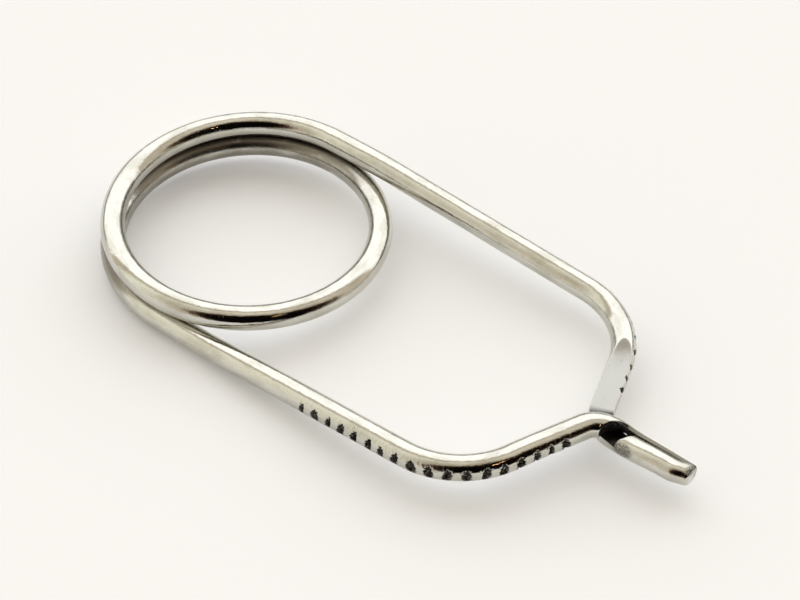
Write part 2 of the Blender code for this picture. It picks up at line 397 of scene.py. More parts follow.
@dataclass(frozen=True)
class WireSide:
    """One side of the pliers: its quarter turn of coil, its leg and its jaw."""

    side: Side
    straight: float
    shoulder_radius: float
    turn: float
    jaw_y: float                        # the jaw's centreline, before its taper
    flat_start_in_arm: float            # the flat is at full depth from here on
    ramp_end_in_arm: float              # the leg is level from here on
    ease_turn: float = 0.0              # last part of the crossing bend, more gently
    ease_radius: float = 14.0 * MM
    tip_x: float = 42.3 * MM
    clamp_y: float = 0.42 * MM          # plane in which the jaws meet
    lap_z: float = -0.1 * MM            # plane in which the crossed wires lie
    crossing_radius: float = 2.45 * MM
    arm_offset: float = 0.5 * MM
    ramp_start: float = 3.0 * MM
    ramp_ease: float = 3.0 * MM
    jaw_settle: float = 2.0 * MM        # the jaw is level this far past its bend
    jaw_straight: float = 2.5 * MM      # and nears the middle plane from here on
    tip_radius: float = 0.85 * MM
    tip_round: float = 0.3 * MM
    lap_end_x: float = 36.4 * MM
    lap_shoulder: float = 0.35 * MM     # rounding over the top of the step
    clamp_start_x: float = 34.95 * MM
    clamp_run_in: float = 1.5 * MM
    run_out_radius: float = 9.0 * MM    # the flat runs out on a wheel this large
    face_gap: float = 0.03 * MM
    step_half: float = 0.004 * MM       # half the thickness of the step's wall
    kernel_relax: float = 1.0 * MM
    # the painted shade on the half-lap's flat fades in over this past the crossing
    lap_shade_ease: float = 0.8 * MM
    shoulder_bevel: float = 0.0         # how far the slanted grind reaches past the step
    root_slant: float = 0.30            # that grind's distance, in radii, at the step
    end_slant: float = 0.92             # and where it ends
    seam_bevel: float = 0.0             # depth of the broken edge along the clamp face
    seam_run_in: float = 1.0 * MM
    ground_edge: float = 0.02 * MM      # the ground mask fades out over this
    lap_shade_edge: float = 0.05 * MM
    edge_reach: float = 1.6             # each mask's full strength, in edges
    leg_spacing: float = 0.26 * MM      # between rings, on each stretch of the wire
    shoulder_spacing: float = 0.15 * MM
    arm_spacing: float = 0.11 * MM
    jaw_spacing: float = 0.075 * MM
    notch_spacing: float = 0.036 * MM
    rim_rings: int = 15
    around: int = 120
    notches: Notches = Notches()
    section: Section = Section()

    @property
    def sign(self) -> int:
        """-1 on the right, 1 on the left."""
        return self.side.value

    @property
    def arm(self) -> float:
        """Length of the arm, from what is left of the reach after both bends."""
        shoulder = self.shoulder_radius * (1.0 - math.cos(self.turn))
        crossing = self.crossing_radius * (math.cos(self.ease_turn) - math.cos(self.turn))
        ease = self.ease_radius * (1.0 - math.cos(self.ease_turn))
        left = STOCK.coil_radius - self.jaw_y - shoulder - crossing - ease
        return left / math.sin(self.turn)

    @property
    def arm_start(self) -> float:
        """Station where the shoulder ends."""
        return self.straight + self.shoulder_radius * self.turn

    @property
    def arm_end(self) -> float:
        """Station where the crossing bend begins."""
        return self.arm_start + self.arm

    @property
    def bend_end(self) -> float:
        """Station where the jaw begins."""
        tight = self.crossing_radius * (self.turn - self.ease_turn)
        return self.arm_end + tight + self.ease_radius * self.ease_turn

    @property
    def flat_start(self) -> float:
        """Station where the half-lap's flat is at full depth."""
        return self.arm_start + self.flat_start_in_arm

    @property
    def jaw_x(self) -> float:
        """X of the jaw's beginning."""
        both = self.shoulder_radius + self.crossing_radius
        easier = self.ease_radius - self.crossing_radius
        return (self.straight + both * math.sin(self.turn)
                + self.arm * math.cos(self.turn) + easier * math.sin(self.ease_turn))

    @property
    def length(self) -> float:
        """Station of the tip."""
        return self.bend_end + self.tip_x - self.jaw_x

    @property
    def step_station(self) -> float:
        """Station of the step at the half-lap's end."""
        return self.bend_end + self.lap_end_x - self.jaw_x

    def plan(self, station: np.ndarray) -> tuple[np.ndarray, np.ndarray, np.ndarray]:
        """Centreline seen from above.

        The coil is a circle whose radius dips by tuck x sin^2 along the winding. The leg
        is a chain of straights and arcs; each adds its chord, length x sin(b/2) / (b/2),
        along the middle of its bend b.

        Args:
            station: Stations along the wire.

        Returns:
            X, Y and heading.
        """
        share = 1.0 + np.minimum(station, 0.0) / STOCK.coil_length
        angle = -math.pi / 2 - STOCK.turns * 2 * math.pi * share
        tuck = STOCK.coil_tuck * np.sin(math.pi * share) ** 2
        x = (STOCK.coil_radius - tuck) * np.cos(angle)
        y = (STOCK.coil_radius - tuck) * np.sin(angle)
        coil_heading = angle + 2 * math.pi * STOCK.turns + math.pi / 2
        heading = np.zeros_like(station)
        moves = ((self.straight, 0.0),
                 (self.shoulder_radius * self.turn, -self.turn),
                 (self.arm, 0.0),
                 (self.crossing_radius * (self.turn - self.ease_turn),
                  self.turn - self.ease_turn),
                 (max(self.ease_radius * self.ease_turn, TINY), self.ease_turn),
                 (self.length - self.bend_end, 0.0))
        start = 0.0
        for length, turn in moves:
            part = np.clip(station - start, 0.0, length)
            bend = turn * part / length
            middle = heading + bend / 2
            chord = part * np.sinc(bend / (2 * math.pi))
            x = x + chord * np.cos(middle)
            y = y + chord * np.sin(middle)
            heading = heading + bend
            start += length
        return x, y, np.where(station < 0.0, coil_heading, heading)

    def level(self, station: np.ndarray) -> np.ndarray:
        """Height of the centreline: the winding's climb, the arm's level, the jaw's.

        Args:
            station: Stations along the wire.

        Returns:
            Heights above the coil's middle.
        """
        share = 1.0 + np.minimum(station, 0.0) / STOCK.coil_length
        coil = STOCK.turns * STOCK.pitch * (share - 0.5)
        jaw = self.sign * self.lap_z
        arm = jaw - self.arm_offset
        ramp_end = self.arm_start + self.ramp_end_in_arm
        to_arm = eased_ramp(station, self.ramp_start, ramp_end, self.ramp_ease)
        to_jaw = smoothstep(station, self.arm_end, self.bend_end + self.jaw_settle)
        level = coil + (arm - coil) * to_arm
        return level + (jaw - level) * to_jaw

    def centre(self, station: np.ndarray) -> tuple[np.ndarray, np.ndarray]:
        """Centreline points and the directions that point out from them.

        Args:
            station: Stations along the wire.

        Returns:
            Points, and unit vectors in plan.
        """
        x, y, heading = self.plan(station)
        start = self.bend_end + self.jaw_straight
        y = y - self.jaw_y * smoothstep(station, start, self.length)
        points = np.stack([x, y, self.level(station)], -1)
        return points, np.stack([-np.sin(heading), np.cos(heading)], -1)

    def wire_radius(self, station: np.ndarray) -> np.ndarray:
        """Radius of the wire, tapering along the jaw to a tip with a rounded rim.

        Args:
            station: Stations along the wire.

        Returns:
            The radii.
        """
        taper = np.clip((station - self.arm_end) / (self.length - self.arm_end), 0, 1)
        radius = STOCK.radius + (self.tip_radius - STOCK.radius) * taper
        to_tip = np.clip(self.length - station, 0.0, self.tip_round)
        rim = np.sqrt(to_tip * (2 * self.tip_round - to_tip))
        return radius - self.tip_round + rim

    def clamp_limit(self, points: np.ndarray, outward: np.ndarray,
                    radius: np.ndarray) -> np.ndarray:
        """How far out each ring reaches before the clamp face's grind.

        The grind is an upright block with a rounded corner. Its signed distance is
        sampled along each ring's outward line, and the first crossing is taken.

        Args:
            points: Centreline points.
            outward: Outward directions.
            radius: Wire radii.

        Returns:
            The limits, FAR where the grind misses.
        """
        share = np.linspace(-1.0, 1.02, 400)[None, :]
        reach = radius[:, None] * share
        face = self.sign * self.clamp_y - self.face_gap / 2
        qx = self.clamp_start_x - points[:, :1] - reach * outward[:, :1]
        qy = face - points[:, 1:2] - reach * outward[:, 1:]
        qx = qx + self.clamp_run_in
        qy = qy + self.clamp_run_in
        distance = (np.hypot(np.maximum(qx, 0.0), np.maximum(qy, 0.0))
                    + np.minimum(np.maximum(qx, qy), 0.0) - self.clamp_run_in)
        inside = distance < 0.0
        inside[:, 0] = False
        hit = inside.argmax(1)
        rows = np.arange(len(hit))
        after, before = distance[rows, hit], distance[rows, hit - 1]
        part = before / np.where(before == after, 1.0, before - after)
        found = reach[rows, hit - 1] + part * (reach[rows, hit] - reach[rows, hit - 1])
        return np.where(inside.any(1), found, FAR)

    def limits(self, station: np.ndarray, points: np.ndarray,
               outward: np.ndarray, radius: np.ndarray) -> np.ndarray:
        """Outer, upper and slanted limits of each ring.

        The upper limit is the half-lap's plane, which rises before its start as
        distance^2 / (2 x wheel radius) and ends in the step.

        Args:
            station: Stations along the wire.
            points: Centreline points.
            outward: Outward directions.
            radius: Wire radii.

        Returns:
            Three limits for each ring.
        """
        plane = self.sign * self.lap_z - self.face_gap / 2 - points[:, 2]
        before = np.maximum(self.flat_start - station, 0.0)
        lap = plane + before ** 2 / (2 * self.run_out_radius)
        past = station - self.step_station
        fall = self.lap_shoulder
        dip = fall - np.clip(past, 0.0, fall)
        rounded = radius - fall + np.sqrt(np.maximum(fall ** 2 - dip ** 2, 0.0))
        upper = np.where(past < 0.0, lap, np.where(past < fall, rounded, FAR))
        outer = self.clamp_limit(points, outward, radius)
        slanted = np.full_like(station, FAR)
        if self.shoulder_bevel > 0.0:
            grown = smoothstep(past, 0.0, self.shoulder_bevel)
            slant = (self.root_slant
                     + (self.end_slant - self.root_slant) * grown) * radius
            slanted = np.where((past >= 0.0) & (past < self.shoulder_bevel), slant, FAR)
        if self.seam_bevel > 0.0:
            run_in = past + self.seam_run_in
            corner = outer + np.sqrt(np.maximum(radius ** 2 - outer ** 2, 0.0))
            eased = smoothstep(run_in, 0.0, self.seam_run_in)
            slant = corner * SLANT - self.seam_bevel * eased
            slanted = np.where((run_in > 0.0) & (outer < radius), slant, FAR)
        return np.stack([outer, upper, slanted], -1)

    def stations(self) -> np.ndarray:
        """Stations of the rings: close in the notches, at the jaw and at the ends."""
        start = -STOCK.coil_length / (4 * STOCK.turns)
        body_end = self.length - self.tip_round
        place = np.linspace(start, body_end, 20000)
        spacing = np.where(place < self.straight, self.leg_spacing,
                           self.shoulder_spacing)
        spacing = np.where(place > self.arm_start, self.arm_spacing, spacing)
        spacing = np.where(place > self.arm_end, self.jaw_spacing, spacing)
        gaps = np.abs(place[:, None] - self.notches.centres()[None, :]).min(1)
        near = gaps < 1.5 * self.notches.half_width
        spacing = np.where(near, self.notch_spacing, spacing)
        body = spaced(start, body_end, spacing)
        step = self.step_station
        body = body[np.abs(body - step) > 0.03 * MM]
        extra = step + self.step_half * np.array([-5.0, -1.0, 1.0, 5.0])
        round_rim = np.linspace(0.0, math.pi / 2, self.rim_rings)[1:]
        rim = self.length - self.tip_round * (1.0 - np.sin(round_rim))
        return np.unique(np.concatenate([body, start + SEAM_STEPS, extra, rim]))

    def surface(self) -> Mesh:
        """The side's whole surface, with its flats and notches."""
        station = self.stations()
        points, outward = self.centre(station)
        radius = self.wire_radius(station)
        limits = self.limits(station, points, outward, radius)
        top = np.minimum(limits[:, :2], radius[:, None])
        kernel = (top - radius[:, None]) / 2
        last = np.flatnonzero(station < self.step_station)[-1]
        past = station[last + 1:] - station[last + 1]
        ease = smoothstep(past, 0.0, self.kernel_relax)[:, None]
        kernel[last + 1:] += (kernel[last] - kernel[last + 1:]) * (1.0 - ease)
        angle = self.section.angles(radius, limits, kernel, self.around)
        angle[last + 1:] += (angle[last] - angle[last + 1:]) * (1.0 - ease)
        out, up = self.section.outline(radius, limits, kernel, angle)
        ground = self._ground(out, up, limits, radius)
        out, notched = self.notches.cut(station[:, None], out, up, radius[:, None])
        # painted shade on the half-lap's flat, where it lies under the crossing wire
        soot = self._painted_lap_shade(station[:, None], up, limits[:, 1:2])
        masks = {"ground": ground, "notched": notched, "soot": soot}
        return place(self, station, (points, outward), (out, up), masks)

    def _painted_lap_shade(self, station: np.ndarray, up: np.ndarray, upper: np.ndarray) -> np.ndarray:
        """Painted shade: 1 on the half-lap's flat from the crossing to the step, and on the
        step, which lie in the crossing wire's shade.

        Args:
            station: Station of each ring, as a column.
            up: Distance up of each point.
            upper: Upper limit of each ring, as a column.

        Returns:
            The mask.
        """
        inside = smoothstep(station, self.arm_end, self.arm_end + self.lap_shade_ease)
        inside = inside * (1.0 - smoothstep(station, self.step_station,
                                            self.step_station + 2 * self.step_half))
        near = np.clip(self.edge_reach - (upper - up) / self.lap_shade_edge, 0.0, 1.0)
        return inside * near

    def _ground(self, out: np.ndarray, up: np.ndarray, limits: np.ndarray,
                radius: np.ndarray) -> np.ndarray:
        """1 on the ground faces, fading out at their edges.

        Args:
            out: Distance out of each point.
            up: Distance up of each point.
            limits: Limits of each ring.
            radius: Wire radii; not used.

        Returns:
            The mask.
        """
        slant = (out + self.section.slant_up * up) * SLANT
        mask = np.zeros_like(out)
        for column, value in enumerate((out, up, slant)):
            gap = (limits[:, column:column + 1] - value) / self.ground_edge
            mask = np.maximum(mask, np.clip(self.edge_reach - gap, 0.0, 1.0))
        return mask


def place(side: WireSide, station: np.ndarray, line: tuple[np.ndarray, np.ndarray],
          section: tuple[np.ndarray, np.ndarray],
          masks: dict[str, np.ndarray]) -> Mesh:
    """Carry sections along a centreline: point + out x outward + up x Z.

    Args:
        side: The side whose turn about the X axis is taken.
        station: Station of each ring.
        line: Centreline points and outward directions.
        section: Distance out and distance up of each point.
        masks: Ground, notched and painted lap shade masks.

    Returns:
        The surface in its final place.
    """
    points, outward = line
    out, up = section
    x = points[:, :1] + out * outward[:, :1]
    y = points[:, 1:2] + out * outward[:, 1:]
    z = points[:, 2:] + up
    axis = np.array(frame["joints"][0]["pos_m"])
    turned = np.array([1.0, side.sign, side.sign])
    rings = axis + np.stack([x, y, z], -1) * turned
    along = station if side.side is Side.LEFT else -STOCK.coil_length - station
    along = np.broadcast_to(along[:, None], out.shape)
    rise = up * side.sign
    space = np.stack([along, out, rise], -1) / MM
    return Mesh(rings, space, masks | {"grime": darken_turns(along, rise)})


def darken_turns(along: np.ndarray, rise: np.ndarray) -> np.ndarray:
    """Where the wire is made darker: the lower turn, and the lines where turns touch.

    The lower turn is the first third of the winding, and the upper turn the last; each
    is darkest on the side that lies against the other.

    Args:
        along: Station along the whole wire, 0 where the left leg begins.
        rise: Height above the wire's centreline.

    Returns:
        The mask.
    """
    share = 1.0 + along / STOCK.coil_length
    lower = smoothstep(share, 0.0, 0.05) * (1.0 - smoothstep(share, 0.32, 0.42))
    upper = smoothstep(share, 0.62, 0.7) * (1.0 - smoothstep(share, 1.0, 1.04))
    level = rise / STOCK.radius
    touch_below = smoothstep(-level, 0.45, 0.9)
    touch_above = smoothstep(level, 0.35, 0.85)
    return np.maximum(lower * (0.55 + 0.45 * touch_above), upper * touch_below)


RIGHT = WireSide(Side.RIGHT, straight=24.5 * MM, shoulder_radius=7.3 * MM,
                 turn=math.radians(65.6), jaw_y=-0.05 * MM,
                 flat_start_in_arm=2.0 * MM, ramp_end_in_arm=3.0 * MM,
                 seam_bevel=0.2 * MM, section=Section(slant_up=-1))
LEFT = WireSide(Side.LEFT, straight=25.7 * MM, shoulder_radius=6.5 * MM,
                turn=math.radians(72.5), jaw_y=-0.34 * MM,
                flat_start_in_arm=1.7 * MM, ramp_end_in_arm=1.0 * MM,
                ease_turn=math.radians(12.0),
                shoulder_bevel=0.6 * MM)


@dataclass(frozen=True)
class Coil:
    """The full turn of wire between the two sides, which is the spring."""

    around: int = 112
    spacing: float = 0.25 * MM

    def surface(self) -> Mesh:
        """The turn, from the back of the lower wire round to the back of the upper."""
        quarter = STOCK.coil_length / (4 * STOCK.turns)
        start, end = quarter - STOCK.coil_length, -quarter
        count = int((end - start) / self.spacing)
        station = np.unique(np.concatenate([np.linspace(start, end, count),
                                            start + SEAM_STEPS, end - SEAM_STEPS]))
        angle = np.linspace(-math.pi, math.pi, self.around, endpoint=False)
        shape = (len(station), self.around)
        out = np.broadcast_to(STOCK.radius * np.cos(angle), shape)
        up = np.broadcast_to(STOCK.radius * np.sin(angle), shape)
        masks = {name: np.zeros(shape) for name in ("ground", "notched", "soot")}
        return place(LEFT, station, LEFT.centre(station), (out, up), masks)


class Graph:
    """A node tree that is written as expressions."""

    def __init__(self, tree: bpy.types.NodeTree) -> None:
        """Start from an empty tree."""
        self.tree = tree
        tree.nodes.clear()

    def node(self, kind: str, settings: dict[str, Any] | None = None,
             inputs: dict[Any, Any] | None = None) -> bpy.types.Node:
        """Add a node.

        Args:
            kind: Its type.
            settings: Its own settings; "stops" are a ramp's (position, colour) pairs.
            inputs: Values or links of its sockets.

        Returns:
            The node.
        """
        made = self.tree.nodes.new(kind)
        for name, value in (settings or {}).items():
            if name == "stops":
                self._ramp(made.color_ramp, value)
            else:
                setattr(made, name, value)
        for name, value in (inputs or {}).items():
            self.feed(made.inputs[name], value)
        return made

    @staticmethod
    def _ramp(ramp: bpy.types.ColorRamp, stops: list[tuple[float, Any]]) -> None:
        """Set a ramp's stops from (position, colour) pairs."""
        while len(ramp.elements) < len(stops):
            ramp.elements.new(1.0)
        for element, (position, colour) in zip(ramp.elements, stops):
            element.position = position
            element.color = colour

    def feed(self, socket: bpy.types.NodeSocket, value: Any) -> None:
        """Link a wrapped value into a socket, or set the socket to a plain one."""
        if isinstance(value, Value):
            self.tree.links.new(value.socket, socket)
        elif isinstance(value, bpy.types.NodeSocket):
            self.tree.links.new(value, socket)
        else:
            socket.default_value = value

    def value(self, node: bpy.types.Node, output: Any = 0) -> "Value":
        """Wrap a node's output."""
        return Value(self, node.outputs[output])

    def attribute(self, name: str, output: str) -> "Value":
        """Read one of the piece's own attributes."""
        return self.value(self.node("ShaderNodeAttribute", {"attribute_name": name}),
                          output)

    def stretched(self, vector: "Value", scale: tuple[float, float, float]) -> "Value":
        """A vector times a scale for each axis."""
        return self.value(self.node("ShaderNodeVectorMath", {"operation": "MULTIPLY"},
                                    {0: vector, 1: scale}))

    def slanted(self, vector: "Value") -> "Value":
        """Long thin cells that run across the wire at a slant."""
        along = self.dot(vector, (5.5, -3.2, 0.0))
        across = self.dot(vector, (0.35, 0.6, 0.0))
        made = self.node("ShaderNodeCombineXYZ", {}, {0: along, 1: across})
        return self.value(made)

    def dot(self, vector: "Value", other: tuple[float, float, float]) -> "Value":
        """Dot product of a vector and a constant one."""
        return self.value(self.node("ShaderNodeVectorMath",
                                    {"operation": "DOT_PRODUCT"},
                                    {0: vector, 1: other}), "Value")

    def noise(self, vector: "Value", scale: float, detail: float = 2.0,
              roughness: float = 0.5) -> "Value":
        """Noise from 0 to 1."""
        return self.value(self.node("ShaderNodeTexNoise", {},
                                    {"Vector": vector, "Scale": scale,
                                     "Detail": detail, "Roughness": roughness}), 0)

    def cells(self, vector: "Value", scale: float) -> "Value":
        """Distance to the nearest of scattered points, in cell widths."""
        return self.value(self.node("ShaderNodeTexVoronoi", {},
                                    {"Vector": vector, "Scale": scale}), "Distance")

    def mix(self, factor: Any, first: Any, second: Any) -> "Value":
        """Blend two colours."""
        made = self.node("ShaderNodeMix", {"data_type": "RGBA"},
                         {0: factor, 6: first, 7: second})
        return Value(self, made.outputs[2])


class Value:
    """A number in a node tree, with arithmetic that adds Math nodes."""

    def __init__(self, graph: Graph, socket: bpy.types.NodeSocket) -> None:
        """Wrap an output socket."""
        self.graph = graph
        self.socket = socket

    def _math(self, operation: str, *operands: Any, clamp: bool = False) -> "Value":
        """Add a Math node.

        Args:
            operation: What it does.
            operands: Its inputs in order.
            clamp: Whether the result is kept within 0 and 1.

        Returns:
            Its result.
        """
        inputs = dict(enumerate(operands))
        made = self.graph.node("ShaderNodeMath",
                               {"operation": operation, "use_clamp": clamp}, inputs)
        return self.graph.value(made)

    def __add__(self, other: Any) -> "Value":
        """Sum."""
        return self._math("ADD", self, other)

    __radd__ = __add__

    def __sub__(self, other: Any) -> "Value":
        """Difference."""
        return self._math("SUBTRACT", self, other)

    def __rsub__(self, other: Any) -> "Value":
        """Difference from a plain number."""
        return self._math("SUBTRACT", other, self)

    def __mul__(self, other: Any) -> "Value":
        """Product."""
        return self._math("MULTIPLY", self, other)

    __rmul__ = __mul__

    def __truediv__(self, other: Any) -> "Value":
        """Quotient."""
        return self._math("DIVIDE", self, other)

    def __rtruediv__(self, other: Any) -> "Value":
        """A plain number over this."""
        return self._math("DIVIDE", other, self)

    def __pow__(self, other: Any) -> "Value":
        """Power."""
        return self._math("POWER", self, other)

    def least(self, other: Any) -> "Value":
        """The smaller of two."""
        return self._math("MINIMUM", self, other)

    def most(self, other: Any) -> "Value":
        """The larger of two."""
        return self._math("MAXIMUM", self, other)

    def above(self, low: float, high: float) -> "Value":
        """Ease from 0 at low to 1 at high; the other way round if high is lower."""
        made = self.graph.node("ShaderNodeMapRange",
                               {"interpolation_type": "SMOOTHSTEP"},
                               {0: self, 1: min(low, high), 2: max(low, high)})
        rising = self.graph.value(made)
        return rising if low < high else 1 - rising


Colour = tuple[float, float, float, float]


@dataclass(frozen=True)
class Spot:
    """A worn place on the wire, in the wire's own space, in mm."""

    centre: tuple[float, float, float]
    size: tuple[float, float, float]
    solid: float = 0.55          # inside this share of the size the mask is full

    def mask(self, graph: Graph, wire: "Value") -> "Value":
        """1 in the middle, 0 outside: the distance from the centre, in sizes, eased.

        Args:
            graph: The material's graph.
            wire: The wire's own space.

        Returns:
            The mask.
        """
        apart = graph.node("ShaderNodeVectorMath", {"operation": "SUBTRACT"},
                           {0: wire, 1: self.centre})
        scale = tuple(1.0 / length for length in self.size)
        shrunk = graph.stretched(graph.value(apart), scale)
        length = graph.node("ShaderNodeVectorMath", {"operation": "LENGTH"}, {0: shrunk})
        return graph.value(length, "Value").above(1.0, self.solid)


def worn_spots() -> tuple[Spot, ...]:
    """The pocked places: the front of the left jaw's root, its seam and its tip."""
    root = LEFT.step_station / MM
    tip = LEFT.length / MM
    return (Spot((root + 0.6, -0.85, 0.25), (1.0, 0.6, 0.75)),
            Spot((tip - 0.1, -0.1, 0.75), (0.5, 0.7, 0.35)),
            Spot((root + 3.4, 0.45, 0.7), (2.4, 0.22, 0.3)))


@dataclass(frozen=True)
class Pattern:
    """A noise in the wire's own space, drawn out along the wire."""

    along: float                 # below 1, its grains are longer along the wire
    scale: float
    detail: float
    roughness: float = 0.5

    def draw(self, graph: Graph, wire: "Value") -> "Value":
        """Make the noise.

        Args:
            graph: The material's graph.
            wire: The wire's own space.

        Returns:
            The noise, about 0.5.
        """
        space = graph.stretched(wire, (self.along, 1.0, 1.0))
        return graph.noise(space, self.scale, self.detail, self.roughness)


@dataclass(frozen=True)
class NickelFinish:
    """Old nickel plate over drawn steel wire, with ground flats and filed notches."""

    name: str = "nickel_plate"
    bright: Colour = (0.63, 0.62, 0.565, 1.0)
    dull: Colour = (0.50, 0.485, 0.42, 1.0)
    ground: Colour = (0.41, 0.405, 0.38, 1.0)
    raw: Colour = (0.30, 0.28, 0.26, 1.0)
    # dark of oxide plus painted shade in the notches; also the dark of the pocked spots
    filed: Colour = (0.05, 0.045, 0.04, 1.0)
    # darker tone for the lower turn and where the turns touch
    turn_dark_colour: Colour = (0.17, 0.145, 0.12, 1.0)
    # painted shade: near black, for the half-lap's flat under the crossing
    painted_shade_black: Colour = (0.006, 0.005, 0.004, 1.0)
    smooth: float = 0.07         # roughness of the best plate
    worn: float = 0.15           # added where the plate is dull
    relief: float = 0.016 * MM   # height of the drawn wire's waves
    scratch: float = 0.0022 * MM # depth of grinding scratches
    spots: tuple[Spot, ...] = worn_spots()
    patches: Pattern = Pattern(0.35, 1.1, 3.0)
    speck: Pattern = Pattern(0.7, 14.0, 2.0, 0.7)
    grain: Pattern = Pattern(0.5, 9.0, 3.0, 0.6)
    waves: Pattern = Pattern(0.55, 2.4, 2.5, 0.55)
    drawn: Pattern = Pattern(0.06, 9.0, 1.0)     # the long lines of wire drawing

    def build(self) -> bpy.types.Material:
        """Make the material.

        Returns:
            The material, which reads only the wire's own attributes.
        """
        material = bpy.data.materials.new(self.name)
        material.use_nodes = True
        graph = Graph(material.node_tree)
        wire = graph.attribute("wire_space", "Vector")
        ground, notched, grime, soot = (
            graph.attribute(mask, "Fac") for mask in ("ground", "notched", "grime", "soot"))

        patches, speck, grain, waves, drawn = (
            pattern.draw(graph, wire)
            for pattern in (self.patches, self.speck, self.grain, self.waves, self.drawn))
        pocked = sum(spot.mask(graph, wire) for spot in self.spots)
        pocked = pocked * speck.above(0.56, 0.50)
        pits = graph.cells(graph.stretched(wire, (0.8, 1.0, 1.0)), 2.6)
        pitted = pits.above(0.16, 0.05) * patches.above(0.48, 0.6)
        strokes = graph.noise(graph.slanted(wire), 3.0, 2.0, 0.6)

        wear = patches.above(0.42, 0.68)
        plate = graph.mix(wear * 0.75, self.bright, self.dull)
        plate = graph.mix(pitted * 0.8, plate, self.raw)
        plate = graph.mix(ground, plate, self.ground)
        # darker in patches on the lower turn and where the turns touch
        turn_darkened = grime * patches.above(0.22, 0.46)
        plate = graph.mix(turn_darkened * 0.9, plate, self.turn_dark_colour)
        # painted shade: the half-lap's flat under the crossing goes near black
        plate = graph.mix(soot * 0.97, plate, self.painted_shade_black)
        plate = graph.mix(pocked * 0.85, plate, self.filed)
        plate = graph.mix(speck.above(0.60, 0.68) * (1 - ground) * 0.45, plate, self.raw)
        # notches: oxide darkening plus painted shade in the V
        colour = graph.mix(notched * grain.above(0.72, 0.58), plate, self.filed)

        rough = self.smooth + self.worn * wear * grain + 0.3 * pitted
        rough = rough + ground * (0.16 + 0.12 * strokes - self.smooth)
        rough = rough + notched * 0.12 + turn_darkened * 0.28

        plain = 1 - ground
        height = (waves * plain + 0.10 * drawn * plain + 0.30 * grain * plain
                  - 0.5 * pitted + 0.9 * notched * grain)
        height = height + ground * strokes * (self.scratch / self.relief)
        height = height - 0.8 * pocked + 0.16 * speck * plain
        bump = graph.node("ShaderNodeBump", {},
                          {"Height": height, "Distance": self.relief, "Strength": 1.0})

        shader = graph.node("ShaderNodeBsdfPrincipled", {},
                            {"Base Color": colour, "Metallic": 1.0, "Roughness": rough,
                             "Normal": graph.value(bump)})
        graph.node("ShaderNodeOutputMaterial", {}, {"Surface": graph.value(shader)})
        return material


